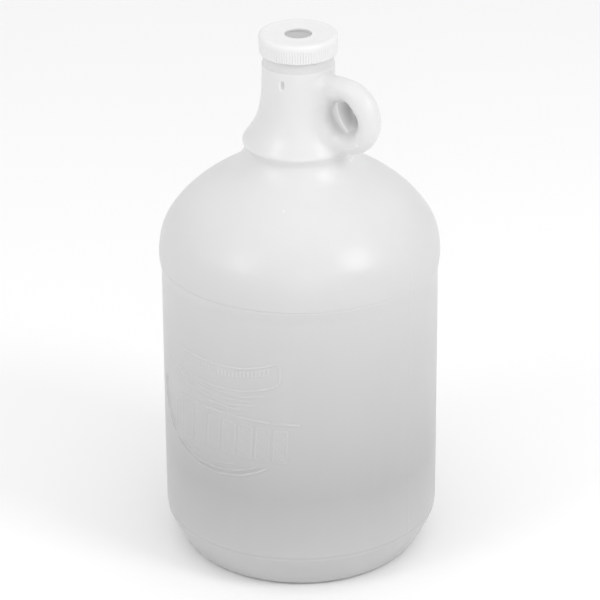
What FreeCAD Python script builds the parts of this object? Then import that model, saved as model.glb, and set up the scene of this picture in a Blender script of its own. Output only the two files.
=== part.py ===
import FreeCAD, Part
import os
import math
import Sketcher
from FreeCAD import Vector, Placement, Rotation

# Round blow-moulded one-gallon jug with a finger ring, ribbed screw cap with a tube hole, and the
# sealing ring inside the cap.
# Frame: +Z up along the jug's axis, origin on the axis in the plane the jug stands on,
# +X through the finger ring. Millimetres.

doc = FreeCAD.newDocument("jug")
sheet = doc.addObject("Spreadsheet::Sheet", "dims")

VALUES = [
    # overall body
    ("body_radius", 77.0), ("bead_radius", 78.4), ("bead_height", 177.6),
    ("stand_radius", 64.5), ("stand_inner", 57.0), ("pushup_height", 6.0), ("pushup_radius", 44.0),
    ("heel_height", 24.0), ("wall_top", 168.0), ("dome_start", 186.3),
    ("body_wall", 1.1), ("bell_wall", 1.6),
    # neck and finish
    ("groove_radius", 29.9), ("groove_height", 239.4),
    ("bell_radius", 31.0), ("bell_height", 244.6),
    ("neck_radius", 19.9), ("step_height", 290.3), ("collar_radius", 19.45), ("collar_top", 295.8),
    ("root_radius", 18.1), ("crest_radius", 19.35), ("rim_height", 303.9), ("mouth_radius", 15.9),
    ("neck_bore", 17.7),
    ("pitch", 4.233), ("thread_start", 298.2), ("thread_rise", 4.2), ("thread_base", 2.2), ("thread_crest", 0.9),
    # finger ring
    ("ring_start", 9.0), ("ring_top", 280.9), ("ring_bend", 33.6), ("ring_bend_radius", 14.5),
    ("ring_turn", 180.0), ("ring_tail", 16.0), ("ring_radius", 6.9), ("ring_wall", 1.4),
    ("hole_x", 33.6), ("flash_thick", 1.3), ("flash_hole", 6.5), ("flash_reach", 8.5),
    # screw cap
    ("cap_radius", 21.75), ("rib_depth", 0.45), ("cap_bottom", 296.1), ("cap_top", 306.9),
    ("band_height", 304.0), ("skirt_bore", 19.85), ("cap_crest", 18.6), ("panel", 2.0),
    ("edge_round", 2.0), ("rib_count", 90), ("tube_hole_radius", 7.5),
    ("cap_thread_rise", 4.1), ("cap_thread_base", 2.0), ("cap_thread_crest", 0.8),
    # sealing ring
    ("liner_radius", 19.5), ("liner_hole", 8.2), ("liner_thick", 0.9), ("liner_gap", 0.05),
]
for row, (alias, value) in enumerate(VALUES, 1):
    sheet.set("A%d" % row, alias)
    sheet.set("B%d" % row, str(value))
    sheet.setAlias("B%d" % row, alias)
doc.recompute()


def val(alias):
    return float(sheet.get(alias))


def plane(body, role):
    for item in body.Origin.OriginFeatures:
        if item.Role == role:
            return item
    raise RuntimeError(role)


def new_body(name):
    body = doc.addObject("PartDesign::Body", name)
    body.Label = name
    return body


def new_sketch(body, name, role="XZ_Plane", offset=None):
    sk = body.newObject("Sketcher::SketchObject", name)
    sk.AttachmentSupport = [(plane(body, role), "")]
    sk.MapMode = "FlatFace"
    if offset is not None:
        sk.AttachmentOffset = offset
    return sk


def closed_profile(sk, items):
    """items: list of curves end to end; the loop is closed with coincidence constraints."""
    ids = [sk.addGeometry(g, False) for g in items]
    for a, b in zip(ids, ids[1:] + ids[:1]):
        sk.addConstraint(Sketcher.Constraint("Coincident", a, 2, b, 1))
    return ids


def seg(p, q):
    return Part.LineSegment(Vector(p[0], p[1], 0), Vector(q[0], q[1], 0))


def spline(points):
    c = Part.BSplineCurve()
    c.interpolate([Vector(p[0], p[1], 0) for p in points])
    return c


def bind_point(sk, geo, end, alias_x, alias_y):
    """ties one end of a curve to sheet cells, measured from the sketch origin"""
    if alias_x:
        n = sk.addConstraint(Sketcher.Constraint("DistanceX", -1, 1, geo, end, val(alias_x)))
        sk.setExpression("Constraints[%d]" % n, "dims." + alias_x)
    if alias_y:
        n = sk.addConstraint(Sketcher.Constraint("DistanceY", -1, 1, geo, end, val(alias_y)))
        sk.setExpression("Constraints[%d]" % n, "dims." + alias_y)


def offset_points(points, dist):
    out = []
    for i, p in enumerate(points):
        a = points[max(i - 1, 0)]
        b = points[min(i + 1, len(points) - 1)]
        tx, ty = b[0] - a[0], b[1] - a[1]
        n = math.hypot(tx, ty)
        d = dist(p) if callable(dist) else dist
        out.append((p[0] - d * ty / n, p[1] + d * tx / n))
    return out


# ------------------------------------------------------------------ jug
jug = new_body("jug")

bead = [(val("body_radius"), val("wall_top")), (77.55, 171.2), (78.1, 174.4),
        (val("bead_radius"), val("bead_height")), (78.2, 181.6), (77.5, val("dome_start"))]
dome = [bead[-1], (76.8, 189.4), (75.8, 192.5), (74.4, 195.6), (72.5, 198.7), (70.3, 201.8),
        (67.8, 204.9), (65.0, 208.0), (61.8, 211.1), (58.2, 214.2), (54.1, 217.4), (49.6, 220.5),
        (44.6, 223.6), (39.9, 226.7), (35.9, 229.8), (32.9, 232.9), (30.9, 236.0),
        (val("groove_radius"), val("groove_height"))]
bell = [(val("bell_radius"), val("bell_height")), (29.9, 246.9), (28.3, 249.2), (26.5, 251.8),
        (24.9, 254.6), (23.5, 257.7), (22.4, 260.8), (21.6, 263.9), (21.0, 267.0), (20.6, 270.1),
        (20.3, 273.2), (20.1, 279.5), (val("neck_radius"), val("step_height"))]

sk = new_sketch(jug, "outer_profile")
items = [
    seg((0, val("pushup_height")), (val("pushup_radius"), val("pushup_height") - 1.0)),
    spline([(val("pushup_radius"), val("pushup_height") - 1.0), (50.5, 3.4), (54.6, 0.8), (val("stand_inner"), 0)]),
    seg((val("stand_inner"), 0), (val("stand_radius"), 0)),
    spline([(val("stand_radius"), 0), (68.9, 5.4), (72.3, 11.6), (75.1, 17.2), (76.5, 20.8), (val("body_radius"), val("heel_height"))]),
    seg((val("body_radius"), val("heel_height")), (val("body_radius"), val("wall_top"))),
    spline(bead),
    spline(dome),
    seg(dome[-1], bell[0]),
    spline(bell),
    seg(bell[-1], (val("collar_radius"), val("step_height") + 0.5)),
    seg((val("collar_radius"), val("step_height") + 0.5), (val("collar_radius"), val("collar_top"))),
    seg((val("collar_radius"), val("collar_top")), (val("root_radius"), val("collar_top"))),
    seg((val("root_radius"), val("collar_top")), (val("root_radius"), val("rim_height"))),
    seg((val("root_radius"), val("rim_height")), (0, val("rim_height"))),
    seg((0, val("rim_height")), (0, val("pushup_height"))),
]
ids = closed_profile(sk, items)
bind_point(sk, ids[2], 2, "stand_radius", None)
bind_point(sk, ids[4], 1, "body_radius", "heel_height")
bind_point(sk, ids[4], 2, None, "wall_top")
bind_point(sk, ids[10], 2, "collar_radius", "collar_top")
bind_point(sk, ids[12], 2, "root_radius", "rim_height")
doc.recompute()
rev = jug.newObject("PartDesign::Revolution", "outer_body")
rev.Profile = sk
rev.ReferenceAxis = (sk, ["V_Axis"])
rev.Angle = 360.0
doc.recompute()

# finger ring: a round tube that leaves the neck level, bends over and runs back level into the bell
def ring_path(name):
    path = new_sketch(jug, name)
    bx, top, br = val("ring_bend"), val("ring_top"), val("ring_bend_radius")
    end = math.radians(90.0 - val("ring_turn"))
    ex, ez = bx + br * math.cos(end), top - br + br * math.sin(end)
    dx, dz = math.sin(end), -math.cos(end)
    tail = val("ring_tail")
    g0 = path.addGeometry(seg((val("ring_start"), top), (bx, top)), False)
    arc = Part.ArcOfCircle(Part.Circle(Vector(bx, top - br, 0), Vector(0, 0, 1), br), end, math.pi / 2)
    g1 = path.addGeometry(arc, False)
    g2 = path.addGeometry(seg((ex, ez), (ex + tail * dx, ez + tail * dz)), False)
    path.addConstraint(Sketcher.Constraint("Coincident", g0, 2, g1, 2))
    path.addConstraint(Sketcher.Constraint("Coincident", g1, 1, g2, 1))
    bind_point(path, g0, 1, "ring_start", "ring_top")
    bind_point(path, g0, 2, "ring_bend", None)
    n = path.addConstraint(Sketcher.Constraint("Radius", g1, br))
    path.setExpression("Constraints[%d]" % n, "dims.ring_bend_radius")
    return path


def ring_section(name, expression):
    sec = new_sketch(jug, name, "YZ_Plane", Placement(Vector(0, 0, val("ring_start")), Rotation()))
    sec.setExpression("AttachmentOffset.Base.z", "dims.ring_start")
    c = sec.addGeometry(Part.Circle(Vector(0, val("ring_top"), 0), Vector(0, 0, 1), 5.0), False)
    n = sec.addConstraint(Sketcher.Constraint("Radius", c, 5.0))
    sec.setExpression("Constraints[%d]" % n, expression)
    sec.addConstraint(Sketcher.Constraint("PointOnObject", c, 3, -2))
    n = sec.addConstraint(Sketcher.Constraint("DistanceY", -1, 1, c, 3, val("ring_top")))
    sec.setExpression("Constraints[%d]" % n, "dims.ring_top")
    return sec


path = ring_path("ring_path")
section = ring_section("ring_section", "dims.ring_radius")
doc.recompute()
pipe = jug.newObject("PartDesign::AdditivePipe", "ring_tube")
pipe.Profile = section
pipe.Spine = path
doc.recompute()

# the ring closes on itself round the finger hole: a torus with the same section, half sunk in the bell
torus_body = jug.newObject("PartDesign::AdditiveTorus", "ring_torus")
torus_body.setExpression("Radius1", "dims.ring_bend_radius")
torus_body.setExpression("Radius2", "dims.ring_radius - 0.25")
torus_body.AttachmentSupport = [(plane(jug, "XZ_Plane"), "")]
torus_body.MapMode = "FlatFace"
torus_body.AttachmentOffset = Placement(Vector(val("hole_x"), val("ring_top") - val("ring_bend_radius"), 0), Rotation())
torus_body.setExpression("AttachmentOffset.Base.x", "dims.hole_x")
torus_body.setExpression("AttachmentOffset.Base.y", "dims.ring_top - dims.ring_bend_radius")
doc.recompute()

# thin flash left on the parting plane round the finger hole
web = new_sketch(jug, "flash_outline")
for radius in ("flash_hole", "flash_reach"):
    c = web.addGeometry(Part.Circle(Vector(val("hole_x"), val("ring_top") - val("ring_bend_radius"), 0), Vector(0, 0, 1), val(radius)), False)
    n = web.addConstraint(Sketcher.Constraint("Radius", c, val(radius)))
    web.setExpression("Constraints[%d]" % n, "dims." + radius)
    n = web.addConstraint(Sketcher.Constraint("DistanceX", -1, 1, c, 3, val("hole_x")))
    web.setExpression("Constraints[%d]" % n, "dims.hole_x")
    n = web.addConstraint(Sketcher.Constraint("DistanceY", -1, 1, c, 3, val("ring_top") - val("ring_bend_radius")))
    web.setExpression("Constraints[%d]" % n, "dims.ring_top - dims.ring_bend_radius")
doc.recompute()
pad = jug.newObject("PartDesign::Pad", "ring_flash")
pad.Profile = web
pad.SideType = "Symmetric"
pad.setExpression("Length", "dims.flash_thick")
doc.recompute()

# cavity: the outer profile set in by the wall thickness, then the bore of the ring
dome_in = offset_points(dome, lambda p: val("body_wall") + (val("bell_wall") - val("body_wall")) * min(max((p[1] - 200.0) / 36.0, 0.0), 1.0))
bell_in = offset_points(bell, lambda p: val("bell_wall") + 0.6 * min(max((p[1] - 246.0) / 40.0, 0.0), 1.0))
bead_in = offset_points(bead, val("body_wall"))
heel_out = [(val("stand_radius"), 0), (68.9, 5.4), (72.3, 11.6), (75.1, 17.2), (76.5, 20.8), (val("body_radius"), val("heel_height"))]
heel_in = offset_points(heel_out, val("body_wall"))
bw = val("body_wall")
heel_in[0] = (val("stand_radius") - 0.6, bw)
heel_in[-1] = (val("body_radius") - bw, val("heel_height") + 0.2)
bead_in[0] = (val("body_radius") - bw, val("wall_top"))
dome_in[0] = bead_in[-1]
sk = new_sketch(jug, "cavity_profile")
dome_in[-1] = (val("groove_radius") - val("bell_wall") - 0.3, val("groove_height"))
bell_in[0] = (val("bell_radius") - val("bell_wall") - 0.8, val("bell_height") + 0.3)
bell_in = bell_in[:-2] + [(val("neck_bore") + 0.1, 279.5), (val("neck_bore"), val("step_height") - 1.0)]
items = [
    seg((0, val("pushup_height") + bw), (val("pushup_radius") + 0.3, val("pushup_height") + bw - 1.0)),
    spline([(val("pushup_radius") + 0.3, val("pushup_height") + bw - 1.0), (51.1, 3.4 + bw * 0.85), (55.3, 0.8 + bw * 0.9), (val("stand_inner") + 0.4, bw)]),
    seg((val("stand_inner") + 0.4, bw), heel_in[0]),
    spline(heel_in),
    seg(heel_in[-1], bead_in[0]),
    spline(bead_in),
    spline(dome_in),
    seg(dome_in[-1], bell_in[0]),
    spline(bell_in),
    seg(bell_in[-1], (val("mouth_radius"), val("collar_top") - 2.0)),
    seg((val("mouth_radius"), val("collar_top") - 2.0), (val("mouth_radius"), val("rim_height") + 1.0)),
    seg((val("mouth_radius"), val("rim_height") + 1.0), (0, val("rim_height") + 1.0)),
    seg((0, val("rim_height") + 1.0), (0, val("pushup_height") + bw)),
]
ids = closed_profile(sk, items)
bind_point(sk, ids[10], 1, "mouth_radius", None)
doc.recompute()
cut = jug.newObject("PartDesign::Groove", "cavity")
cut.Profile = sk
cut.ReferenceAxis = (sk, ["V_Axis"])
cut.Angle = 360.0
doc.recompute()
path_in = ring_path("ring_bore_path")
section_in = ring_section("ring_bore_section", "dims.ring_radius - dims.ring_wall")
doc.recompute()
bore = jug.newObject("PartDesign::SubtractivePipe", "ring_bore")
bore.Profile = section_in
bore.Spine = path_in
doc.recompute()
torus_bore = jug.newObject("PartDesign::SubtractiveTorus", "ring_torus_bore")
torus_bore.setExpression("Radius1", "dims.ring_bend_radius")
torus_bore.setExpression("Radius2", "dims.ring_radius - dims.ring_wall - 0.25")
torus_bore.AttachmentSupport = [(plane(jug, "XZ_Plane"), "")]
torus_bore.MapMode = "FlatFace"
torus_bore.AttachmentOffset = torus_body.AttachmentOffset
torus_bore.setExpression("AttachmentOffset.Base.x", "dims.hole_x")
torus_bore.setExpression("AttachmentOffset.Base.y", "dims.ring_top - dims.ring_bend_radius")
doc.recompute()


def tooth(body, name, root, crest, base, tip, start):
    """thread tooth section in the plane through the axis, at height start"""
    sk = new_sketch(body, name)
    r0, r1 = root, crest
    pts = [(r0, start - base / 2), (r1, start - tip / 2), (r1, start + tip / 2), (r0, start + base / 2)]
    closed_profile(sk, [seg(a, b) for a, b in zip(pts, pts[1:] + pts[:1])])
    return sk


sk = tooth(jug, "thread_section", val("root_radius") - 0.3, val("crest_radius"), val("thread_base"), val("thread_crest"), val("thread_start"))
doc.recompute()
helix = jug.newObject("PartDesign::AdditiveHelix", "neck_thread")
helix.Profile = sk
helix.ReferenceAxis = (sk, ["V_Axis"])
helix.Mode = 0
helix.setExpression("Pitch", "dims.pitch")
helix.setExpression("Height", "dims.thread_rise")
helix.LeftHanded = False
helix.Reversed = False
doc.recompute()

# ------------------------------------------------------------------ screw cap
cap = new_body("screw_cap")
cb, ct, cr, er = val("cap_bottom"), val("cap_top"), val("cap_radius"), val("edge_round")
hr, sb, pn = val("tube_hole_radius"), val("skirt_bore"), val("panel")
sk = new_sketch(cap, "cap_profile")
arc = Part.ArcOfCircle(Part.Circle(Vector(cr - er, ct - er, 0), Vector(0, 0, 1), er), 0.0, math.pi / 2)
pts = [(sb, cb), (cr - val("rib_depth"), cb), (cr - val("rib_depth"), val("band_height")),
       (cr, val("band_height")), (cr, ct - er)]
items = [seg(a, b) for a, b in zip(pts, pts[1:])] + [
    arc,
    seg((cr - er, ct), (hr, ct)),
    seg((hr, ct), (hr, ct - pn)),
    seg((hr, ct - pn), (sb, ct - pn)),
    seg((sb, ct - pn), (sb, cb)),
]
ids = closed_profile(sk, items)
bind_point(sk, ids[0], 1, "skirt_bore", "cap_bottom")
bind_point(sk, ids[6], 1, "tube_hole_radius", "cap_top")
doc.recompute()
rev = cap.newObject("PartDesign::Revolution", "cap_shell")
rev.Profile = sk
rev.ReferenceAxis = (sk, ["V_Axis"])
rev.Angle = 360.0
doc.recompute()

# grip ribs: one rib standing up the skirt, repeated round the axis
rib = new_sketch(cap, "rib_section", "XY_Plane", Placement(Vector(0, 0, cb), Rotation()))
rib.setExpression("AttachmentOffset.Base.z", "dims.cap_bottom")
rd = val("rib_depth")
pitch_len = 2 * math.pi * cr / val("rib_count")
w0, w1 = 0.36 * pitch_len, 0.2 * pitch_len
pts = [(cr - rd - 0.2, -w0), (cr, -w1), (cr, w1), (cr - rd - 0.2, w0)]
closed_profile(rib, [seg(a, b) for a, b in zip(pts, pts[1:] + pts[:1])])
doc.recompute()
rp = cap.newObject("PartDesign::Pad", "rib")
rp.Profile = rib
rp.setExpression("Length", "dims.band_height - dims.cap_bottom")
doc.recompute()
pattern = cap.newObject("PartDesign::PolarPattern", "ribs")
pattern.Originals = [rp]
pattern.Axis = (rib, ["N_Axis"])
pattern.Angle = 360.0
pattern.setExpression("Occurrences", "dims.rib_count")
cap.Tip = pattern
doc.recompute()

# internal thread, half a pitch below the neck's
start = val("thread_start") - val("pitch") / 2.0 + val("pitch") * 100.0 / 360.0
sk = tooth(cap, "cap_thread_section", sb + 0.3, val("cap_crest"), val("cap_thread_base"), val("cap_thread_crest"), start)
sk.AttachmentOffset = Placement(Vector(0, 0, 0), Rotation(Vector(0, 1, 0), 100.0))
doc.recompute()
helix = cap.newObject("PartDesign::AdditiveHelix", "cap_thread")
helix.Profile = sk
helix.ReferenceAxis = (sk, ["V_Axis"])
helix.Mode = 0
helix.setExpression("Pitch", "dims.pitch")
helix.setExpression("Height", "dims.cap_thread_rise")
helix.LeftHanded = False
helix.Reversed = False
doc.recompute()

# ------------------------------------------------------------------ sealing ring
liner = new_body("cap_liner")
sk = new_sketch(liner, "liner_outline", "XY_Plane", Placement(Vector(0, 0, val("rim_height") + val("liner_gap")), Rotation()))
sk.setExpression("AttachmentOffset.Base.z", "dims.rim_height + dims.liner_gap")
for radius in ("liner_radius", "liner_hole"):
    c = sk.addGeometry(Part.Circle(Vector(0, 0, 0), Vector(0, 0, 1), val(radius)), False)
    sk.addConstraint(Sketcher.Constraint("Coincident", c, 3, -1, 1))
    n = sk.addConstraint(Sketcher.Constraint("Radius", c, val(radius)))
    sk.setExpression("Constraints[%d]" % n, "dims." + radius)
doc.recompute()
lp = liner.newObject("PartDesign::Pad", "liner_disc")
lp.Profile = sk
lp.setExpression("Length", "dims.liner_thick")
doc.recompute()

# ------------------------------------------------------------------ checks and export
for obj in doc.Objects:
    bad = [s for s in obj.State if s in ("Invalid", "Error")]
    if bad:
        raise RuntimeError("%s: %s" % (obj.Name, bad))

os.makedirs("parts", exist_ok=True)
NODES = [jug, cap, liner]
for body in NODES:
    shape = body.Shape
    if shape.isNull() or not shape.isValid():
        raise RuntimeError("bad shape: " + body.Label)
    if len(shape.Solids) != 1:
        raise RuntimeError("%s has %d solids" % (body.Label, len(shape.Solids)))
for body in NODES:
    shape = body.Shape
    shape.exportStep("parts/%s.step" % body.Label)
    bb = shape.BoundBox
    print("%-12s volume %.1f mm3, faces %d, box %.2f..%.2f  %.2f..%.2f  %.2f..%.2f" % (
        body.Label, shape.Volume, len(shape.Faces), bb.XMin, bb.XMax, bb.YMin, bb.YMax, bb.ZMin, bb.ZMax))
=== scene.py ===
import bpy
import bmesh
import math
import numpy as np
from mathutils import Vector, Matrix


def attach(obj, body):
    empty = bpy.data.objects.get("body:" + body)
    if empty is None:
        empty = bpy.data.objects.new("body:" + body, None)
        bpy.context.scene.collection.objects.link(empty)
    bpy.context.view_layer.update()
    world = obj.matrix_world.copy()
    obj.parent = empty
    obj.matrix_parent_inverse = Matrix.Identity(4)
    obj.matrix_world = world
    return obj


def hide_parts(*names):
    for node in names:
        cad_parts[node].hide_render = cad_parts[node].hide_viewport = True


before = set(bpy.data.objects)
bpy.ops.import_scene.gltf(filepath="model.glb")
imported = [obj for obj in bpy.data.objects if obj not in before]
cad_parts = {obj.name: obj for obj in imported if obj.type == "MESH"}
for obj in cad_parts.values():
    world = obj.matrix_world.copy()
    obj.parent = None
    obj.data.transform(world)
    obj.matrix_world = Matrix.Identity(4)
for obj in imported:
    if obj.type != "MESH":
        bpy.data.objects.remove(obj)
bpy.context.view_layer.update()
scene = bpy.context.scene
MM = 0.001

# =====================================================================================
# camera, floor and light
# =====================================================================================
AZ = math.radians(39.0)


def place_camera():
    pos = Vector((1767.5 * math.sin(AZ), -1767.5 * math.cos(AZ), 1008.0)) * MM
    aim = Vector((0.0, 0.0, 145.9)) * MM
    fwd = (aim - pos).normalized()
    right = fwd.cross(Vector((0, 0, 1))).normalized()
    up = right.cross(fwd)
    roll = -0.00682
    r = right * math.cos(roll) + up * math.sin(roll)
    u = -right * math.sin(roll) + up * math.cos(roll)
    cam = bpy.data.cameras.new("camera")
    obj = bpy.data.objects.new("camera", cam)
    scene.collection.objects.link(obj)
    m = Matrix.Identity(4)
    for i in range(3):
        m[i][0], m[i][1], m[i][2], m[i][3] = r[i], u[i], -fwd[i], pos[i]
    obj.matrix_world = m
    cam.sensor_width = 36.0
    cam.lens = 210.37
    cam.clip_start = 0.05
    cam.clip_end = 50.0
    scene.camera = obj
    return obj


camera = place_camera()


def cam_dir(az_deg, el_deg):
    """unit vector for a direction given from the object: azimuth right of the camera, elevation above the floor"""
    a = AZ + math.radians(az_deg)
    e = math.radians(el_deg)
    return Vector((math.sin(a) * math.cos(e), -math.cos(a) * math.cos(e), math.sin(e)))


def area_light(name, az, el, dist, size, power, size_y=None, target=(0, 0, 0.2)):
    light = bpy.data.lights.new(name, "AREA")
    light.shape = "RECTANGLE"
    light.size = size
    light.size_y = size_y or size
    light.energy = power
    obj = bpy.data.objects.new(name, light)
    scene.collection.objects.link(obj)
    t = Vector(target)
    obj.location = t + cam_dir(az, el) * dist
    obj.rotation_euler = (t - obj.location).to_track_quat("-Z", "Y").to_euler()
    return obj


area_light("overhead", 0, 80, 1.8, 2.0, 5.0)
area_light("key_right", 55, 37.5, 1.5, 0.46, 4.85)
area_light("fill_left", -54, 36, 1.6, 0.48, 3.0)
area_light("front", 10, 22, 1.9, 1.0, 2.2)

world = bpy.data.worlds.new("studio")
scene.world = world
world.use_nodes = True
world.node_tree.nodes["Background"].inputs[0].default_value = (1, 1, 1, 1)
world.node_tree.nodes["Background"].inputs[1].default_value = 0.81
scene.view_settings.view_transform = "Standard"
scene.view_settings.look = "None"

# =====================================================================================
# small node helper
# =====================================================================================


class Mat:
    def __init__(self, name):
        self.m = bpy.data.materials.new(name)
        self.m.use_nodes = True
        self.nt = self.m.node_tree
        self.nt.nodes.clear()
        self.out = self.nt.nodes.new("ShaderNodeOutputMaterial")
        self.bsdf = self.nt.nodes.new("ShaderNodeBsdfPrincipled")
        self.nt.links.new(self.bsdf.outputs[0], self.out.inputs[0])
        self.tc = self.nt.nodes.new("ShaderNodeTexCoord")

    def node(self, kind, **kw):
        n = self.nt.nodes.new(kind)
        for k, v in kw.items():
            setattr(n, k, v)
        return n

    def link(self, a, b):
        self.nt.links.new(a, b)

    def mapped(self, scale, loc=(0, 0, 0)):
        n = self.node("ShaderNodeMapping")
        n.inputs["Scale"].default_value = scale
        n.inputs["Location"].default_value = loc
        self.link(self.tc.outputs["Object"], n.inputs["Vector"])
        return n.outputs[0]

    def noise(self, vec, scale, detail=2.0, rough=0.5):
        n = self.node("ShaderNodeTexNoise")
        n.inputs["Scale"].default_value = scale
        n.inputs["Detail"].default_value = detail
        n.inputs["Roughness"].default_value = rough
        self.link(vec, n.inputs["Vector"])
        return n.outputs["Fac"]

    def ramp(self, fac, stops):
        n = self.node("ShaderNodeValToRGB")
        el = n.color_ramp.elements
        while len(el) < len(stops):
            el.new(0.5)
        for e, (p, c) in zip(el, stops):
            e.position = p
            e.color = (c[0], c[1], c[2], 1.0) if not isinstance(c, (int, float)) else (c, c, c, 1.0)
        self.link(fac, n.inputs[0])
        return n.outputs[0]

    def range(self, fac, a, b, c, d):
        n = self.node("ShaderNodeMapRange")
        for i, v in zip((1, 2, 3, 4), (a, b, c, d)):
            n.inputs[i].default_value = v
        self.link(fac, n.inputs[0])
        return n.outputs[0]

    def mix(self, fac, a, b):
        n = self.node("ShaderNodeMix", data_type="RGBA")
        if isinstance(fac, (int, float)):
            n.inputs[0].default_value = fac
        else:
            self.link(fac, n.inputs[0])
        for s, v in ((6, a), (7, b)):
            if isinstance(v, tuple):
                n.inputs[s].default_value = (v[0], v[1], v[2], 1)
            else:
                self.link(v, n.inputs[s])
        return n.outputs[2]

    def math(self, op, a, b=None):
        n = self.node("ShaderNodeMath", operation=op)
        for s, v in ((0, a), (1, b)):
            if v is None:
                continue
            if isinstance(v, (int, float)):
                n.inputs[s].default_value = v
            else:
                self.link(v, n.inputs[s])
        return n.outputs[0]

    def bump(self, height, strength, distance, normal=None):
        n = self.node("ShaderNodeBump")
        n.inputs["Strength"].default_value = strength
        n.inputs["Distance"].default_value = distance
        self.link(height, n.inputs["Height"])
        if normal is not None:
            self.link(normal, n.inputs["Normal"])
        return n.outputs[0]


# =====================================================================================
# geometry helpers (millimetres)
# =====================================================================================


def nat_spline(points, step=0.05):
    """natural cubic spline through the points, chord-length parameter, sampled about every step mm"""
    p = np.array(points, float)
    t = np.concatenate([[0], np.cumsum(np.hypot(*np.diff(p, axis=0).T))])
    n = len(p)
    out_t = np.linspace(0, t[-1], max(2, int(t[-1] / step)))
    res = []
    for c in range(2):
        y = p[:, c]
        hh = np.diff(t)
        A = np.zeros((n, n))
        rhs = np.zeros(n)
        A[0, 0] = A[-1, -1] = 1
        for i in range(1, n - 1):
            A[i, i - 1], A[i, i], A[i, i + 1] = hh[i - 1], 2 * (hh[i - 1] + hh[i]), hh[i]
            rhs[i] = 6 * ((y[i + 1] - y[i]) / hh[i] - (y[i] - y[i - 1]) / hh[i - 1])
        M = np.linalg.solve(A, rhs)
        k = np.clip(np.searchsorted(t, out_t, side="right") - 1, 0, n - 2)
        dt = out_t - t[k]
        h = hh[k]
        a = (M[k + 1] - M[k]) / (6 * h)
        b = M[k] / 2
        cc = (y[k + 1] - y[k]) / h - h * (2 * M[k] + M[k + 1]) / 6
        res.append(y[k] + dt * (cc + dt * (b + dt * a)))
    return np.stack(res, 1)


def polyline(points, step=0.05):
    out = []
    for a, b in zip(points[:-1], points[1:]):
        a, b = np.array(a, float), np.array(b, float)
        n = max(1, int(np.hypot(*(b - a)) / step))
        out.append(a + (b - a) * np.linspace(0, 1, n, endpoint=False)[:, None])
    out.append(np.array([points[-1]], float))
    return np.concatenate(out)


def smooth_line(p, radius, step=0.05):
    """rounds the corners of a densely sampled line by a moving average over about the given radius"""
    n = max(1, int(radius / step))
    k = np.hanning(2 * n + 3)[1:-1]
    k /= k.sum()
    pad = np.concatenate([2 * p[0] - p[1:n + 1][::-1], p, 2 * p[-1] - p[-n - 1:-1][::-1]])
    return np.stack([np.convolve(pad[:, c], k, "valid") for c in range(2)], 1)


def resample(p, spacing):
    """walks the dense line p, placing a point every spacing(point) mm"""
    seg = np.hypot(*np.diff(p, axis=0).T)
    s = np.concatenate([[0], np.cumsum(seg)])
    pos, marks = 0.0, [0.0]
    while True:
        i = min(np.searchsorted(s, pos), len(p) - 1)
        pos += spacing(p[i])
        if pos >= s[-1] - 0.4 * spacing(p[-1]):
            break
        marks.append(pos)
    marks.append(s[-1])
    marks = np.array(marks)
    return np.stack([np.interp(marks, s, p[:, c]) for c in range(2)], 1)


class Shell:
    """collects vertices and faces of one mesh"""

    def __init__(self):
        self.v, self.q, self.t, self.n = [], [], [], 0

    def add(self, verts):
        verts = np.asarray(verts, float).reshape(-1, 3)
        ids = np.arange(self.n, self.n + len(verts))
        self.v.append(verts)
        self.n += len(verts)
        return ids

    def quads(self, a):
        self.q.append(np.asarray(a, np.int64).reshape(-1, 4))

    def tris(self, a):
        self.t.append(np.asarray(a, np.int64).reshape(-1, 3))

    def lathe(self, ids, flip=False, close_rows=False):
        """ids: rows x columns, columns wrap round"""
        a = ids
        b = np.roll(ids, -1, 1)
        if close_rows:
            na, nb = np.roll(a, -1, 0), np.roll(b, -1, 0)
        else:
            na, nb, a, b = a[1:], b[1:], a[:-1], b[:-1]
        f = np.stack([a, b, nb, na], -1).reshape(-1, 4)
        self.quads(f[:, ::-1] if flip else f)

    def zip_loops(self, low, low_ang, high, high_ang, flip=False):
        """joins two closed loops, both running counter-clockwise, with triangles"""
        la = np.concatenate([low_ang, [low_ang[0] + 2 * math.pi]])
        ha = np.concatenate([high_ang, [high_ang[0] + 2 * math.pi]])
        li = np.concatenate([low, [low[0]]])
        hi = np.concatenate([high, [high[0]]])
        i = j = 0
        out = []
        while i < len(low) or j < len(high):
            if j >= len(high) or (i < len(low) and la[i + 1] <= ha[j + 1]):
                out.append((li[i], li[i + 1], hi[j]))
                i += 1
            else:
                out.append((li[i], hi[j + 1], hi[j]))
                j += 1
        out = np.array(out)
        self.tris(out[:, ::-1] if flip else out)

    def build(self, name):
        v = np.concatenate(self.v) * MM
        q = np.concatenate(self.q) if self.q else np.zeros((0, 4), np.int64)
        t = np.concatenate(self.t) if self.t else np.zeros((0, 3), np.int64)
        me = bpy.data.meshes.new(name)
        me.vertices.add(len(v))
        me.vertices.foreach_set("co", v.astype(np.float32).ravel())
        me.loops.add(q.size + t.size)
        me.loops.foreach_set("vertex_index", np.concatenate([q.ravel(), t.ravel()]).astype(np.int32))
        me.polygons.add(len(q) + len(t))
        me.polygons.foreach_set("loop_start", np.concatenate([np.arange(len(q)) * 4, q.size + np.arange(len(t)) * 3]).astype(np.int32))
        me.update(calc_edges=True)
        me.validate()
        me.polygons.foreach_set("use_smooth", np.ones(len(me.polygons), bool))
        obj = bpy.data.objects.new(name, me)
        scene.collection.objects.link(obj)
        return obj


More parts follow.
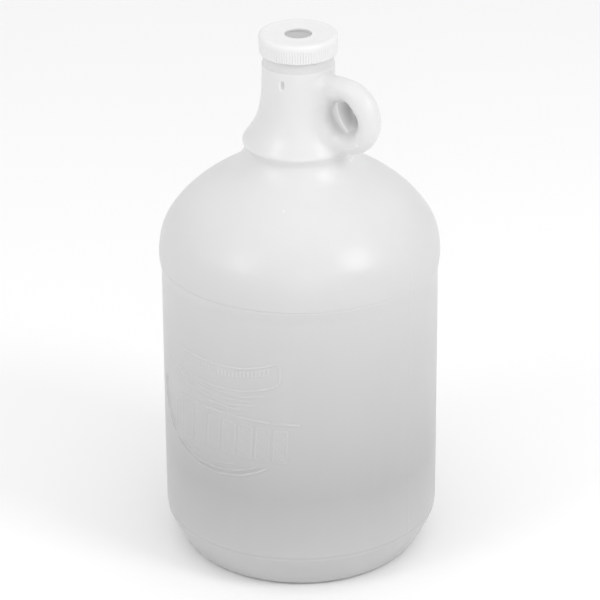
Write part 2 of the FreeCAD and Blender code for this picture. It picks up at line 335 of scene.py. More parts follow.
def surface_nets(F, xs, ys, zs):
    nx, ny, nz = F.shape
    s = F < 0
    cnt = np.zeros((nx - 1, ny - 1, nz - 1), np.int8)
    for di in (0, 1):
        for dj in (0, 1):
            for dk in (0, 1):
                cnt += s[di:nx - 1 + di, dj:ny - 1 + dj, dk:nz - 1 + dk]
    ijk = np.argwhere((cnt > 0) & (cnt < 8))
    idx = -np.ones(cnt.shape, np.int64)
    idx[tuple(ijk.T)] = np.arange(len(ijk))
    acc = np.zeros((len(ijk), 3))
    num = np.zeros(len(ijk))
    I, J, K = ijk.T
    axes = (xs, ys, zs)
    for axis in range(3):
        for a in (0, 1):
            for b in (0, 1):
                o0 = [0, 0, 0]
                others = [d for d in range(3) if d != axis]
                o0[others[0]], o0[others[1]] = a, b
                o1 = list(o0)
                o1[axis] = 1
                f0 = F[I + o0[0], J + o0[1], K + o0[2]]
                f1 = F[I + o1[0], J + o1[1], K + o1[2]]
                cr = (f0 < 0) != (f1 < 0)
                t = f0[cr] / (f0[cr] - f1[cr])
                base = ijk[cr]
                for d in range(3):
                    p0 = axes[d][base[:, d] + o0[d]]
                    p1 = axes[d][base[:, d] + o1[d]]
                    acc[cr, d] += p0 + (p1 - p0) * t
                num[cr] += 1
    verts = acc / num[:, None]
    quads = []
    for axis in range(3):
        u, w = (axis + 1) % 3, (axis + 2) % 3
        lo = [slice(None)] * 3
        hi = [slice(None)] * 3
        lo[axis] = slice(0, -1)
        hi[axis] = slice(1, None)
        for d in (u, w):
            lo[d] = hi[d] = slice(1, -1)
        s0, s1 = s[tuple(lo)], s[tuple(hi)]
        e = np.argwhere(s0 != s1)
        pos = s0[tuple(e.T)]
        e = e + np.array([0 if d == axis else 1 for d in range(3)])
        cells = []
        for du, dw in ((-1, -1), (0, -1), (0, 0), (-1, 0)):
            c = e.copy()
            c[:, u] += du
            c[:, w] += dw
            cells.append(idx[tuple(c.T)])
        f = np.stack(cells, 1)
        f[~pos] = f[~pos][:, ::-1]
        quads.append(f)
    quads = np.concatenate(quads)
    quads = quads[(quads >= 0).all(1)]
    return verts, quads


def smin(a, b, k):
    h = np.maximum(k - np.abs(a - b), 0.0) / k
    return np.minimum(a, b) - h * h * k * 0.25


# =====================================================================================
# the jug's outline
# =====================================================================================
Z_LOW, Z_HIGH = 222.0, 289.6

base_out = polyline([(0.0, 6.0), (44.0, 5.0)])
base_turn = nat_spline([(44.0, 5.0), (50.5, 3.4), (54.6, 0.9), (57.4, 0.0)])
stand = polyline([(57.4, 0.0), (64.2, 0.0)])
heel = nat_spline([(64.2, 0.0), (66.6, 1.9), (69.0, 5.6), (71.6, 10.3), (74.0, 14.9), (76.0, 19.4), (76.75, 21.7), (77.0, 24.6)])
wall = polyline([(77.0, 24.6), (77.0, 167.0)])
bead = nat_spline([(77.0, 167.0), (77.1, 169.0), (77.5, 171.6), (78.0, 174.4), (78.25, 177.6), (78.1, 181.6), (77.55, 186.0),
                   (76.8, 189.4), (75.8, 192.5), (74.4, 195.6), (72.5, 198.7), (70.3, 201.8),
                   (67.8, 204.9), (65.0, 208.0), (61.8, 211.1), (58.2, 214.2), (54.1, 217.4), (49.6, 220.5),
                   (44.8, 223.6), (40.2, 226.7), (36.4, 229.8), (33.6, 232.9), (31.4, 236.0), (30.1, 238.5), (29.75, 239.9),
                   (30.0, 241.5), (30.65, 243.2), (31.0, 244.4), (30.85, 245.4), (29.9, 247.0), (28.4, 249.2), (26.6, 251.8),
                   (25.0, 254.6), (23.6, 257.7), (22.5, 260.8), (21.7, 263.9), (21.1, 267.0), (20.7, 270.1),
                   (20.4, 273.2), (20.15, 279.5), (19.95, 289.0), (19.9, 291.0)])
lower = np.concatenate([base_out[:-1], base_turn[:-1], stand[:-1], heel[:-1], wall[:-1], bead[bead[:, 1] < Z_LOW]])
lower = smooth_line(lower, 0.6)
lower[0] = (0.0, 6.0)
lower[:, 1] = np.maximum(lower[:, 1], 0.0)

_bz = bead[np.concatenate([[True], np.diff(bead[:, 1]) > 1e-6])]
ZT = np.arange(214.0, 291.0, 0.05)
RT = np.interp(ZT, _bz[:, 1], _bz[:, 0])
_k = np.hanning(25)
_k /= _k.sum()
RT = np.convolve(np.pad(RT, 12, mode="edge"), _k, "valid")
DT = np.gradient(RT, ZT)


def R_of(z):
    return np.interp(z, ZT, RT)


# ring: circle round the finger hole and a level arm to the neck
HX, HZ, HR, TR = 33.6, 266.4, 14.5, 6.9


def seg_dist(x, y, z, a, b):
    ax, az = a
    bx, bz = b
    ux, uz = bx - ax, bz - az
    L2 = ux * ux + uz * uz
    t = np.clip(((x - ax) * ux + (z - az) * uz) / L2, 0, 1)
    return np.sqrt((x - ax - t * ux) ** 2 + (z - az - t * uz) ** 2 + y * y)


DIMPLE = math.radians(-77.0)


def smax(a, b, k):
    return -smin(-a, -b, k)


def field(x, y, z, outside=True):
    r = np.hypot(x, y)
    R = np.interp(z, ZT, RT)
    dR = np.interp(z, ZT, DT)
    body = (r - R) / np.sqrt(1 + dR * dR)
    rho = np.hypot(x - HX, z - HZ)
    # the hole sits a little outward and down from the middle of the ring
    s = seg_dist(x, 0.0, z, (HX + 1.2, HZ - 1.2), (HX - 1.5, HZ + 1.4))
    ring = np.hypot(np.maximum(rho - HR, 0) + np.maximum(HR + 0.6 - s, 0), y)
    arm = seg_dist(x, y, z, (9.0, 281.1), (HX - 5.0, 281.1)) + 0.2
    d = smin(ring, arm, 1.5) - TR
    if outside:
        # the +Y half of the ring is fuller: the hole narrows and slants upward and outward to its far end
        t = np.clip(y / 6.6, 0, 1)
        h1 = np.hypot(x - HX - (1.0 + 3.0 * t), z - HZ - (-0.2 + 4.0 * t)) - (9.4 - 4.8 * t)
        h2 = np.hypot(x - HX - 14.0, z - HZ - 8.2) - (21.0 - 4.0 * t)
        hole = smax(h1, h2, 1.5)
        fill = smax(smax(y - 6.5, -hole, 1.6), np.maximum(-y - 0.45, rho - HR), 0.5)
        d = smin(d, fill, 1.5)
    # softly blended into the neck above, a tighter corner at the lip of the bell
    k = 1.2 + 4.2 * np.clip((z - 240.5) / 5.0, 0, 1) * np.clip((289.0 - z) / 5.0, 0, 1)
    f = smin(body, d, k)
    if outside:
        s = np.arctan2(y, x) - DIMPLE
        s = (np.mod(s + math.pi, 2 * math.pi) - math.pi) * r
        f = f + 1.6 * np.exp(-(((s / 1.15) ** 2 + ((z - 283.0) / 2.3) ** 2)) ** 2) * (x < 19)
    return f


def project(v, fn, lo, hi, steps=4, e=0.05):
    for _ in range(steps):
        x, y, z = v.T
        f = fn(x, y, z)
        g = np.stack([fn(x + e, y, z) - fn(x - e, y, z), fn(x, y + e, z) - fn(x, y - e, z), fn(x, y, z + e) - fn(x, y, z - e)], 1) / (2 * e)
        step = (f / np.maximum((g * g).sum(1), 0.2))[:, None] * g
        ln = np.linalg.norm(step, axis=1, keepdims=True)
        step *= np.minimum(1.0, 0.35 / np.maximum(ln, 1e-9))
        v = v - step
    return v


def top_piece(h, fn, reach=57.0):
    xs = np.arange(-reach, reach + h, h)
    ys = np.arange(-reach, reach + h, h)
    zs = np.arange(Z_LOW - 2.5 * h, Z_HIGH + 2.5 * h, h)
    X, Y, Z = np.meshgrid(xs, ys, zs, indexing="ij")
    F = fn(X, Y, Z)
    v, q = surface_nets(F, xs, ys, zs)
    v = project(v, fn, Z_LOW, Z_HIGH)
    bm = bmesh.new()
    me = bpy.data.meshes.new("tmp")
    me.vertices.add(len(v))
    me.vertices.foreach_set("co", v.astype(np.float32).ravel())
    me.loops.add(q.size)
    me.loops.foreach_set("vertex_index", q.ravel().astype(np.int32))
    me.polygons.add(len(q))
    me.polygons.foreach_set("loop_start", (np.arange(len(q)) * 4).astype(np.int32))
    me.update(calc_edges=True)
    bm.from_mesh(me)
    for zz, no in ((Z_LOW, (0, 0, -1)), (Z_HIGH, (0, 0, 1))):
        bmesh.ops.bisect_plane(bm, geom=bm.verts[:] + bm.edges[:] + bm.faces[:], dist=1e-4, plane_co=(0, 0, zz), plane_no=no, clear_outer=True)
    bad = [vv for vv in bm.verts if not vv.link_faces]
    bmesh.ops.delete(bm, geom=bad, context="VERTS")
    for zz in (Z_LOW, Z_HIGH):
        rim = [vv for vv in bm.verts if abs(vv.co.z - zz) < 2e-3]
        bmesh.ops.remove_doubles(bm, verts=rim, dist=0.12)
    bm.verts.index_update()
    bm.verts.ensure_lookup_table()
    verts = np.array([vv.co for vv in bm.verts])
    quads = np.array([[l.index for l in f.verts] for f in bm.faces if len(f.verts) == 4], np.int64)
    other = [[l.index for l in f.verts] for f in bm.faces if len(f.verts) != 4]
    tris = []
    for o in other:
        for i in range(1, len(o) - 1):
            tris.append((o[0], o[i], o[i + 1]))
    loops = {}
    for zz in (Z_LOW, Z_HIGH):
        ids = np.array([vv.index for vv in bm.verts if abs(vv.co.z - zz) < 2e-3 and any(len(e.link_faces) == 1 for e in vv.link_edges)])
        a = np.arctan2(verts[ids, 1], verts[ids, 0])
        o = np.argsort(a)
        loops[zz] = (ids[o], a[o])
    bm.free()
    bpy.data.meshes.remove(me)
    return verts, quads, np.array(tris, np.int64).reshape(-1, 3), loops


# =====================================================================================
# raised emblem: a plain oval, a ribbed ribbon and sagging lines above a banner of blank tiles
# =====================================================================================
EMB_Z, EMB_W, EMB_H = 107.0, 56.0, 42.0


def stroke(d, w, soft=0.32):
    return np.clip((w * 0.5 - np.abs(d)) / soft + 0.5, 0, 1)


def ellipse_d(u, v, a, b):
    n = np.sqrt((u / a) ** 2 + (v / b) ** 2)
    g = np.sqrt((u / a ** 2) ** 2 + (v / b ** 2) ** 2) / np.maximum(n, 1e-6)
    return (n - 1) / np.maximum(g, 1e-6)


def emblem(u, v):
    """height in mm of the raised lines at arc length u and height v from the emblem's centre"""
    u, v = u * 0.91, v * 0.87
    out = np.zeros_like(u)
    # blank banner across the lower half, its right end past the oval
    vb = v + 10.5 + 0.04 * np.abs(u)
    banner = np.maximum(np.abs(u - 9.0) - 41.0, np.abs(vb) - 12.4)
    clear = np.clip(banner / 0.8, 0, 1)
    d1 = ellipse_d(u, v, 46.0, 32.0)
    d2 = ellipse_d(u, v, 43.2, 29.4)
    low = np.clip((4.0 - v) / 3.0, 0, 1)
    out = np.maximum(out, 1.15 * stroke(d1, 1.1) * clear * low * (u < 36))
    out = np.maximum(out, 0.85 * stroke(d2, 0.9) * clear * low * (u < 36))
    out = np.maximum(out, 0.7 * stroke(vb - 12.4, 1.0) * (u > -26) * (u < 47))
    # row of even, plain tiles on it
    edge = -31.0
    tiles = np.zeros_like(u)
    for wide, tall, lift in [(7.6, 18.0, 0.0)] * 8:
        cu = edge + wide / 2 + 0.05 * (vb - lift)
        edge += wide + 1.6
        tile = np.hypot(np.maximum(np.abs(u - cu) - wide / 2 + 1.6, 0), np.maximum(np.abs(vb - lift) - tall / 2 + 1.6, 0)) - 1.6
        hatch = 0.5 + 0.5 * np.cos((u + 0.8 * vb) * 2 * math.pi / 2.3)
        tiles = np.maximum(tiles, 0.40 * stroke(tile + 0.5, 0.9) + (0.16 + 0.26 * hatch) * np.clip((-tile - 0.9) / 0.5, 0, 1))
    # sagging lines above it
    for i, (off, a, b) in enumerate(((5.4, -38.0, 20.0), (7.4, -34.0, 30.0), (9.6, -40.0, 24.0), (12.2, -30.0, 34.0))):
        w = v - off - 0.0050 * (u - 9.0) ** 2 - 0.35 * np.sin(u * 0.31 + 1.9 * i)
        out = np.maximum(out, (0.62 - 0.08 * i) * stroke(w * 0.95, 0.8) * np.clip((u - a) / 8.0, 0, 1) * np.clip((b - u) / 8.0, 0, 1))
    # ribbon along the top, fine ribs under its upper edge
    c = 20.6 + 0.0058 * np.maximum(u - 4.0, 0) ** 2
    ribbon = np.hypot(np.maximum(np.abs(u + 3.0) - 37.0, 0), np.maximum(np.abs(v - c) - 2.6, 0)) - 3.4
    out = np.maximum(out, 0.60 * stroke(ribbon, 0.85) * np.clip((u + 44.0) / 20.0, 0, 1))
    ribs = 0.5 + 0.5 * np.cos(u * 2 * math.pi / 2.1)
    zone = np.maximum(np.abs(u - 5.0) - 28.0, np.abs(v - c - 2.7) - 1.9)
    out = np.maximum(out, 0.72 * ribs * np.clip(-zone / 0.5, 0, 1) * np.clip((u + 26.0) / 40.0, 0.12, 1))
    # line under the banner
    out = np.maximum(out, 0.5 * stroke(ellipse_d(u, v, 39.6, 26.2), 0.8) * (vb < -13.5))
    # worn moulding: the lines fade in and out
    worn = 0.72 + 0.28 * np.sin(u * 0.37 + 0.9) * np.sin(v * 0.43 + u * 0.11 + 0.4) + 0.16 * np.sin(u * 0.93 - v * 0.71)
    out = np.maximum(out * np.clip(worn, 0.3, 1.0), tiles)
    return out


# =====================================================================================
# jug mesh
# =====================================================================================


def build_jug():
    sh = Shell()
    # columns: fine across the emblem (centred on -Y) and at the two mould lines, even elsewhere
    half = EMB_W + 2.0
    centre = -math.pi / 2
    a = centre - half / 77.0
    b = centre + half / 77.0
    cols = [np.linspace(a, b, int(2 * half / 0.42), endpoint=False)]

    def span(p, q):
        n = max(2, int((q - p) * 77.0 / 1.45))
        return np.linspace(p, q, n, endpoint=False)

    cur = b
    for m in (0.0, math.pi):
        w = 1.4 / 77.0
        cols.append(span(cur, m - w))
        cols.append(np.linspace(m - w, m + w, 10, endpoint=False))
        cur = m + w
    cols.append(span(cur, a + 2 * math.pi))
    th = np.concatenate(cols)

    def spacing(p):
        r, z = p
        if r < 55 and z < 10:
            return 3.0
        if z < 30:
            return 0.75
        if abs(z - EMB_Z) < EMB_H + 1.5:
            return 0.42
        if abs(z - 175.6) < 1.6 or abs(z - 22.6) < 1.5:
            return 0.25
        if z < 160:
            return 2.2
        if z < 214:
            return 1.2
        return 0.8

    rows = resample(lower, spacing)
    rr, zz = rows[1:, 0], rows[1:, 1]
    T = th[None, :]
    U = (np.mod(T - centre + math.pi, 2 * math.pi) - math.pi) * 77.0
    disp = np.zeros((len(rr), len(th)))
    band = np.abs(zz - EMB_Z) < EMB_H + 1.5
    uu = np.broadcast_to(U, (band.sum(), len(th)))
    vv = np.broadcast_to((zz[band] - EMB_Z)[:, None], uu.shape)
    disp[band] = 0.62 * emblem(uu, vv) * (np.abs(uu) < half)
    # the mould halves' parting line stands up a hair at y = 0
    for m in (0.0, math.pi):
        s = (np.mod(T - m + math.pi, 2 * math.pi) - math.pi) * rr[:, None]
        disp += 0.10 * np.exp(-(s / 0.38) ** 2) * ((zz > 3) & (zz < 219) & (rr > 60))[:, None]
    # the wall is not perfectly round
    disp += (0.10 * np.sin(2 * T + 0.6) + 0.06 * np.sin(3 * T + 2.0 + zz[:, None] * 0.02)) * np.clip((zz[:, None] - 26) / 20, 0, 1) * np.clip((165 - zz[:, None]) / 20, 0, 1) - 0.0
    # fine creases where the mould's shoulder and base inserts meet its sides
    front = 0.4 + 0.6 * (0.5 - 0.5 * np.cos(2 * T))
    disp -= 0.30 * np.exp(-((zz[:, None] - 175.6) / 0.42) ** 2) * front
    disp -= 0.42 * np.exp(-((zz[:, None] - 22.6) / 0.55) ** 2)
    rad = rr[:, None] + disp
    P = np.stack([rad * np.cos(T), rad * np.sin(T), np.broadcast_to(zz[:, None], rad.shape)], -1)
    ids = sh.add(P).reshape(len(rr), len(th))
    sh.lathe(ids)
    pole = sh.add([(0, 0, rows[0, 1])])[0]
    sh.tris(np.stack([np.full(len(th), pole), np.roll(ids[0], -1), ids[0]], 1))
    order = np.argsort(np.mod(th + math.pi, 2 * math.pi))
    low_ids, low_ang = ids[-1][order], np.mod(th[order] + math.pi, 2 * math.pi) - math.pi

    # shoulder, bell, neck and ring
    v, q, t, loops = top_piece(0.5, lambda x, y, z: field(x, y, z))
    off = sh.add(v)[0]
    sh.quads(q + off)
    if len(t):
        sh.tris(t + off)
    li, la = loops[Z_LOW]
    sh.zip_loops(low_ids, low_ang, li + off, la)
    hi_ids, hi_ang = loops[Z_HIGH][0] + off, loops[Z_HIGH][1]

    # neck finish with its thread, rim and bore, as one lathe
    n = 360
    tn = np.linspace(-math.pi, math.pi, n, endpoint=False)
    outp = np.concatenate([
        polyline([(19.9, 290.1), (19.88, 290.35)])[:-1],
        polyline([(19.88, 290.35), (19.45, 290.9), (19.45, 295.8), (18.1, 295.8), (18.1, 303.9), (15.9, 303.9), (15.9, 293.8), (17.7, 289.6)]),
    ])
    outp = smooth_line(outp, 0.35)

    def sp(p):
        return 0.2 if p[0] > 17.9 and p[1] > 295.5 else 0.3 if p[1] > 303 or p[0] > 19 else 0.7

    rows = resample(outp, sp)
    r2, z2 = rows[:, 0], rows[:, 1]
    outer = np.arange(len(r2)) <= np.argmax(z2 > 303.6)
    thread = np.zeros((len(r2), n))
    turn = np.mod(tn, 2 * math.pi)
    for lap in (-1, 0, 1, 2):
        ang = turn + lap * 2 * math.pi
        centre_z = 298.2 + 4.233 * ang / (2 * math.pi)
        fade = np.clip(ang / math.radians(16) + 0.0, 0, 1) * np.clip((math.radians(357) - ang) / math.radians(16), 0, 1)
        dz = np.abs(z2[:, None] - centre_z[None, :])
        prof = np.clip((1.1 - dz) / 0.65, 0, 1)
        prof = prof * prof * (3 - 2 * prof)
        thread = np.maximum(thread, 1.25 * prof * fade[None, :])
    thread *= (outer & (r2 > 17.0) & (z2 > 295.9) & (z2 < 303.75))[:, None]
    rad = r2[:, None] + thread
    rad = np.minimum(rad, 19.45)
    P = np.stack([rad * np.cos(tn)[None], rad * np.sin(tn)[None], np.broadcast_to(z2[:, None], rad.shape)], -1)
    ids = sh.add(P).reshape(len(r2), n)
    sh.lathe(ids)
    sh.zip_loops(hi_ids, hi_ang, ids[0], tn)

    # inside skin
    def wall_t(z):
        return 1.1 + 0.5 * np.clip((z - 200.0) / 36.0, 0, 1) + 0.62 * np.clip((z - 246.0) / 40.0, 0, 1)

    v, q, t, loops = top_piece(1.0, lambda x, y, z: field(x, y, z, False) + wall_t(z))
    off = sh.add(v)[0]
    sh.quads((q + off)[:, ::-1])
    if len(t):
        sh.tris((t + off)[:, ::-1])
    hi_i, hi_a = loops[Z_HIGH]
    # the bore's last row runs down to the inside skin's upper edge
    sh.zip_loops(hi_i + off, hi_a, ids[-1], tn, flip=True)
    inner = np.concatenate([polyline([(0.0, 7.1), (44.0, 6.1)])[:-1],
                            nat_spline([(44.0, 6.1), (51.0, 4.4), (55.2, 2.0), (57.9, 1.1)])[:-1],
                            polyline([(57.9, 1.1), (63.6, 1.1)])[:-1],
                            nat_spline([(63.6, 1.1), (66.0, 3.0), (68.1, 6.2), (70.6, 10.8), (73.0, 15.4), (75.0, 20.0), (75.7, 22.2), (75.9, 24.8)])[:-1],
                            polyline([(75.9, 24.8), (75.9, 167.0)])])
    bd = bead[bead[:, 1] < Z_LOW + 1.0]
    tan = np.gradient(bd, axis=0)
    tan /= np.linalg.norm(tan, axis=1, keepdims=True)
    wt = wall_t(bd[:, 1])[:, None]
    bdi = bd + wt * np.stack([-tan[:, 1], tan[:, 0]], 1)
    bdi = bdi[(bdi[:, 1] > 167.1) & (bdi[:, 1] < Z_LOW)]
    inner = smooth_line(np.concatenate([inner, bdi]), 0.8)
    inner[0] = (0.0, 7.1)
    rows = resample(inner, lambda p: 4.0 if p[1] < 200 and p[1] > 26 else 1.5 if p[1] > 1 else 2.0)
    tl = np.linspace(-math.pi, math.pi, 200, endpoint=False)
    P = np.stack([rows[1:, 0, None] * np.cos(tl)[None], rows[1:, 0, None] * np.sin(tl)[None],
                  np.broadcast_to(rows[1:, 1, None], (len(rows) - 1, 200))], -1)
    ids = sh.add(P).reshape(len(rows) - 1, 200)
    sh.lathe(ids, flip=True)
    pole = sh.add([(0, 0, rows[0, 1])])[0]
    sh.tris(np.stack([np.full(200, pole), ids[0], np.roll(ids[0], -1)], 1))
    sh.zip_loops(ids[-1], tl, loops[Z_LOW][0] + off, loops[Z_LOW][1], flip=True)
    return sh.build("jug_shell")


jug = build_jug()


# =====================================================================================
# screw cap
# =====================================================================================


def build_cap():
    sh = Shell()
    ribs, per = 90, 10
    n = ribs * per
    th = np.linspace(-math.pi, math.pi, n, endpoint=False)
    ct, cb, cr, rd = 306.9, 296.1, 21.75, 0.36
    er = 2.1
    prof = polyline([(19.85, cb), (cr - 0.55, cb), (cr - 0.38, cb + 0.4), (cr, ct - er - 0.2)])[:-1]
    arc = [(cr - er + er * math.cos(a), ct - er + er * math.sin(a)) for a in np.linspace(0, math.pi / 2, 20)]
    prof = np.concatenate([prof, polyline([(cr, ct - er - 0.2)] + arc + [(18.6, ct), (18.2, ct - 0.12), (9.4, ct - 0.5), (8.6, ct - 0.45), (7.5, ct - 0.45), (7.5, ct - 2.0), (19.85, ct - 2.0), (19.85, cb)])])
    ring = smooth_line(np.concatenate([prof[-400:], prof[:-1], prof[:400]]), 0.28)[400:-399]

    def sp(p):
        r, z = p
        if r > 21.0 and z < 306:
            return 0.35
        if r < 8.2 or z > 304.8:
            return 0.25 if (r > 17 or r < 10) else 1.0
        if 19.0 < r < 20.4:
            return 0.22
        return 0.9

    rows = resample(ring, sp)[:-1]
    r, z = rows.T
    # grip ribs: rounded, with narrow valleys, running out under a plain band at the top
    ph = np.mod(th / (2 * math.pi) * ribs, 1.0)
    rib = np.abs(ph - 0.5) * 2
    valley = np.clip((rib - 0.52) / 0.48, 0, 1)
    valley = valley * valley * (3 - 2 * valley)
    on = (r > 20.9) * np.clip((303.9 - z) / 0.9, 0, 1) * np.clip((z - 295.9) / 0.25, 0, 1)
    disp = -rd * on[:, None] * valley[None, :]
    # inside thread, half a pitch below the neck's
    turn = np.mod(th - math.radians(100), 2 * math.pi)
    inside = (r > 19.3) & (r < 20.2) & (z < 304.6) & (z > 296.2)
    start = 298.2 - 4.233 / 2 + 4.233 * 100 / 360
    th_in = np.zeros((len(r), n))
    for lap in (-1, 0, 1):
        ang = turn + lap * 2 * math.pi
        cz = start + 4.233 * ang / (2 * math.pi)
        fade = np.clip(ang / math.radians(14), 0, 1) * np.clip((math.radians(348) - ang) / math.radians(14), 0, 1)
        p = np.clip((1.0 - np.abs(z[:, None] - cz[None, :])) / 0.6, 0, 1)
        p = p * p * (3 - 2 * p)
        th_in = np.maximum(th_in, 1.25 * p * fade[None, :])
    disp -= th_in * inside[:, None]
    rad = r[:, None] + disp
    P = np.stack([rad * np.cos(th)[None], rad * np.sin(th)[None], np.broadcast_to(z[:, None], rad.shape)], -1)
    ids = sh.add(P).reshape(len(r), n)
    sh.lathe(ids, close_rows=True)
    return sh.build("cap_shell")


cap = build_cap()


def build_liner():
    sh = Shell()
    n = 160
    th = np.linspace(-math.pi, math.pi, n, endpoint=False)
    z0, z1, ra, rb = 303.95, 304.85, 8.2, 19.5
    ring = polyline([(14.0, z0), (rb, z0), (rb, z1), (ra, z1), (ra, z0), (14.0, z0)])
    ring = smooth_line(np.concatenate([ring[-60:-1], ring, ring[1:60]]), 0.15)[59:-59]
    rows = resample(ring, lambda p: 0.15 if (p[0] > 19 or p[0] < 8.7) else 1.2)[:-1]
    r, z = rows.T
    # pressed in a little where it sits on the rim
    z = z + 0.06 * ((z < 304.2) & (r > 15.9) & (r < 18.1))
    P = np.stack([r[:, None] * np.cos(th)[None], r[:, None] * np.sin(th)[None], np.broadcast_to(z[:, None], (len(r), n))], -1)
    ids = sh.add(P).reshape(len(r), n)
    sh.lathe(ids, close_rows=True)
    return sh.build("liner_ring")


liner = build_liner()

# =====================================================================================
# materials
# =====================================================================================


def hdpe():
    m = Mat("natural_polyethylene")
    obj = m.tc.outputs["Object"]
    xyz = m.node("ShaderNodeSeparateXYZ")
    m.link(obj, xyz.inputs[0])
    X, Y, Z = xyz.outputs[0], xyz.outputs[1], xyz.outputs[2]
    # painted light and shade by height: lighter up the shoulder, neck and ring, darker down the wall and at the heel,
    # with a lighter band painted just above the heel crease
    up = m.range(Z, 0.0, 0.300, 0.0, 1.0)
    height_painted_shade = m.ramp(up, [(0.0, 0.54), (0.070, 0.507), (0.080, 0.512), (0.13, 0.482), (0.20, 0.448), (0.36, 0.530), (0.50, 0.59), (0.57, 0.62),
                        (0.64, 0.668), (0.72, 0.713), (0.80, 0.735), (0.90, 0.73), (0.965, 0.73), (0.970, 0.68)])
    # slow cloudiness from uneven wall thickness, and faint drawn streaks down the wall
    cloud = m.noise(m.mapped((1, 1, 0.55)), 20.0, 3.0, 0.5)
    streak = m.noise(m.mapped((1, 1, 0.03)), 120.0, 2.0, 0.5)
    fac = m.math("ADD", m.math("MULTIPLY", cloud, 0.85), m.math("MULTIPLY", streak, 0.15))
    tint = m.ramp(fac, [(0.30, (0.965, 0.968, 0.972)), (0.70, (1.0, 1.0, 1.0))])

    def times(a, b):
        n = m.node("ShaderNodeMix", data_type="RGBA", blend_type="MULTIPLY")
        n.inputs[0].default_value = 1.0
        m.link(a, n.inputs[6])
        m.link(b, n.inputs[7])
        return n.outputs[2]

    # painted shade in the finger hole: its far half and the near flare on its left are darkened in the base colour,
    # where little light gets down into it
    flat = m.node("ShaderNodeCombineXYZ")
    m.link(X, flat.inputs[0])
    m.link(Z, flat.inputs[2])
    away = m.node("ShaderNodeVectorMath", operation="DISTANCE")
    m.link(flat.outputs[0], away.inputs[0])
    away.inputs[1].default_value = (0.0345, 0.0, 0.2658)
    s = away.outputs[1]
    hole_far_painted_shade = m.math("MULTIPLY", m.range(s, 0.0112, 0.0096, 0.0, 1.0), m.range(Y, 0.0002, 0.0044, 0.0, 1.0))
    hole_far_painted_shade = m.math("MULTIPLY", hole_far_painted_shade, m.range(Y, -0.0009, -0.0002, 0.0, 1.0))
    hole_near_painted_shade = m.math("MULTIPLY", m.range(s, 0.0122, 0.0092, 0.0, 1.0), m.range(Y, -0.0002, -0.0012, 0.0, 1.0))
    hole_near_painted_shade = m.math("MULTIPLY", hole_near_painted_shade, m.range(X, 0.0345, 0.0285, 0.0, 1.0))
    painted_shading = m.math("MULTIPLY", m.math("SUBTRACT", 1.0, m.math("MULTIPLY", hole_far_painted_shade, 0.40)),
                   m.math("SUBTRACT", 1.0, m.math("MULTIPLY", hole_near_painted_shade, 0.16)))
    painted_shading_rgb = m.node("ShaderNodeCombineXYZ")
    # painted light by pointiness: raised edges are painted whiter as a painted highlight, fine grooves greyer as
    # painted shade
    geo = m.node("ShaderNodeNewGeometry")
    # edge here is the painted highlight and painted shade factor from pointiness
    edge = m.math("SUBTRACT", m.range(geo.outputs["Pointiness"], 0.505, 0.56, 0.0, 0.16), m.range(geo.outputs["Pointiness"], 0.495, 0.44, 0.0, 0.10))
    painted_shading = m.math("MULTIPLY", painted_shading, m.math("ADD", 1.0, edge))
    for i in range(3):
        m.link(painted_shading, painted_shading_rgb.inputs[i])
    col = times(times(height_painted_shade, tint), painted_shading_rgb.outputs[0])
    m.link(col, m.bsdf.inputs["Base Color"])
    # painted light: the bore and the inside of the neck glow by emission, standing in for daylight coming through the
    # neck wall
    bore = m.node("ShaderNodeCombineXYZ")
    m.link(X, bore.inputs[0])
    m.link(Y, bore.inputs[1])
    rad = m.node("ShaderNodeVectorMath", operation="LENGTH")
    m.link(bore.outputs[0], rad.inputs[0])
    # inside here is the mask of that painted glow, kept off the base below the shoulder
    inside = m.math("MULTIPLY", m.range(rad.outputs[1], 0.0172, 0.0166, 0.0, 1.0), m.range(Z, 0.280, 0.296, 0.2, 1.0))
    inside = m.math("MULTIPLY", inside, m.range(Z, 0.215, 0.245, 0.0, 1.0))
    m.bsdf.inputs["Emission Color"].default_value = (1.0, 1.0, 1.0, 1.0)
    m.link(m.math("MULTIPLY", inside, 0.33), m.bsdf.inputs["Emission Strength"])
    rough = m.noise(m.mapped((1, 1, 1)), 60.0, 3.0, 0.6)
    m.link(m.range(rough, 0.3, 0.7, 0.31, 0.37), m.bsdf.inputs["Roughness"])
    m.bsdf.inputs["IOR"].default_value = 1.5
    m.bsdf.inputs["Specular IOR Level"].default_value = 0.5
    m.bsdf.inputs["Subsurface Weight"].default_value = 0.30
    m.bsdf.inputs["Subsurface Radius"].default_value = (1.0, 1.0, 1.0)
    m.bsdf.inputs["Subsurface Scale"].default_value = 0.004
    fine = m.noise(obj, 900.0, 2.0, 0.5)
    peel = m.noise(obj, 90.0, 2.0, 0.5)
    n1 = m.bump(peel, 0.08, 0.0010)
    n2 = m.bump(fine, 0.05, 0.0003, n1)
    m.link(n2, m.bsdf.inputs["Normal"])
    return m.m


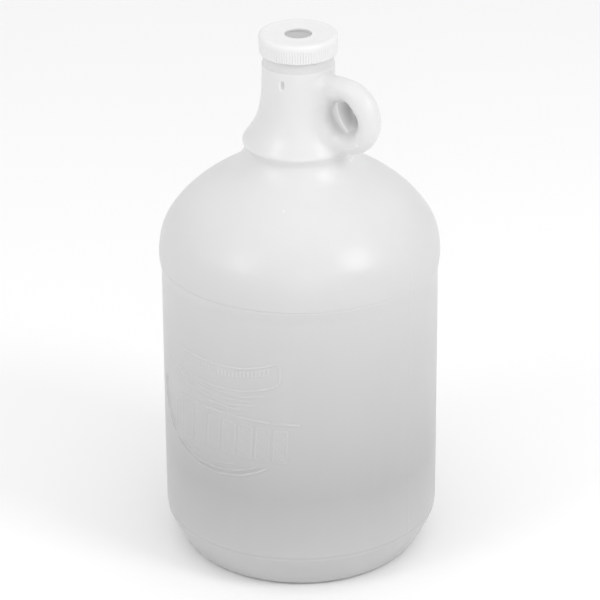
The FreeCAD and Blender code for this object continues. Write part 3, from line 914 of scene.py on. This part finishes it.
def polypropylene():
    m = Mat("white_polypropylene")
    obj = m.tc.outputs["Object"]
    cloud = m.noise(obj, 120.0, 2.0, 0.5)
    m.link(m.ramp(cloud, [(0.3, (0.765, 0.765, 0.765)), (0.7, (0.785, 0.785, 0.785))]), m.bsdf.inputs["Base Color"])
    rough = m.noise(obj, 300.0, 2.0, 0.5)
    m.link(m.range(rough, 0.3, 0.7, 0.38, 0.50), m.bsdf.inputs["Roughness"])
    m.bsdf.inputs["IOR"].default_value = 1.49
    m.bsdf.inputs["Specular IOR Level"].default_value = 0.35
    m.bsdf.inputs["Subsurface Weight"].default_value = 0.15
    m.bsdf.inputs["Subsurface Radius"].default_value = (1.0, 1.0, 1.0)
    m.bsdf.inputs["Subsurface Scale"].default_value = 0.002
    m.link(m.bump(m.noise(obj, 1400.0, 2.0, 0.5), 0.08, 0.0002), m.bsdf.inputs["Normal"])
    return m.m


def foam():
    m = Mat("foam_liner")
    obj = m.tc.outputs["Object"]
    cells = m.node("ShaderNodeTexVoronoi")
    cells.inputs["Scale"].default_value = 2600.0
    m.link(obj, cells.inputs["Vector"])
    m.link(m.ramp(cells.outputs["Distance"], [(0.0, (0.78, 0.78, 0.76)), (0.7, (0.88, 0.88, 0.86))]), m.bsdf.inputs["Base Color"])
    m.bsdf.inputs["Roughness"].default_value = 0.75
    m.link(m.bump(cells.outputs["Distance"], 0.3, 0.0002), m.bsdf.inputs["Normal"])
    return m.m


def floor_material():
    m = Mat("studio_floor")
    n = m.noise(m.tc.outputs["Object"], 3.0, 2.0, 0.5)
    m.link(m.ramp(n, [(0.3, 0.955), (0.7, 0.965)]), m.bsdf.inputs["Base Color"])
    m.bsdf.inputs["Roughness"].default_value = 0.85
    m.bsdf.inputs["Specular IOR Level"].default_value = 0.2
    return m.m


M_HDPE, M_PP, M_FOAM = hdpe(), polypropylene(), foam()
for piece, mat, body, node, slot in ((jug, M_HDPE, "jug", "jug", "jug_natural"),
                                     (cap, M_PP, "cap", "screw_cap", "cap_white"),
                                     (liner, M_FOAM, "liner", "cap_liner", "liner_foam")):
    piece.data.materials.append(mat)
    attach(piece, body)
    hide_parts(node)
for name, mat in (("jug", M_HDPE), ("screw_cap", M_PP), ("cap_liner", M_FOAM)):
    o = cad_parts[name]
    o.data.materials.clear()
    o.data.materials.append(mat)

# floor
me = bpy.data.meshes.new("floor")
me.from_pydata([(-6, -6, 0), (6, -6, 0), (6, 6, 0), (-6, 6, 0)], [], [(0, 1, 2, 3)])
floor = bpy.data.objects.new("floor", me)
scene.collection.objects.link(floor)
floor.location.z = -0.0002
me.materials.append(floor_material())

bpy.context.view_layer.update()
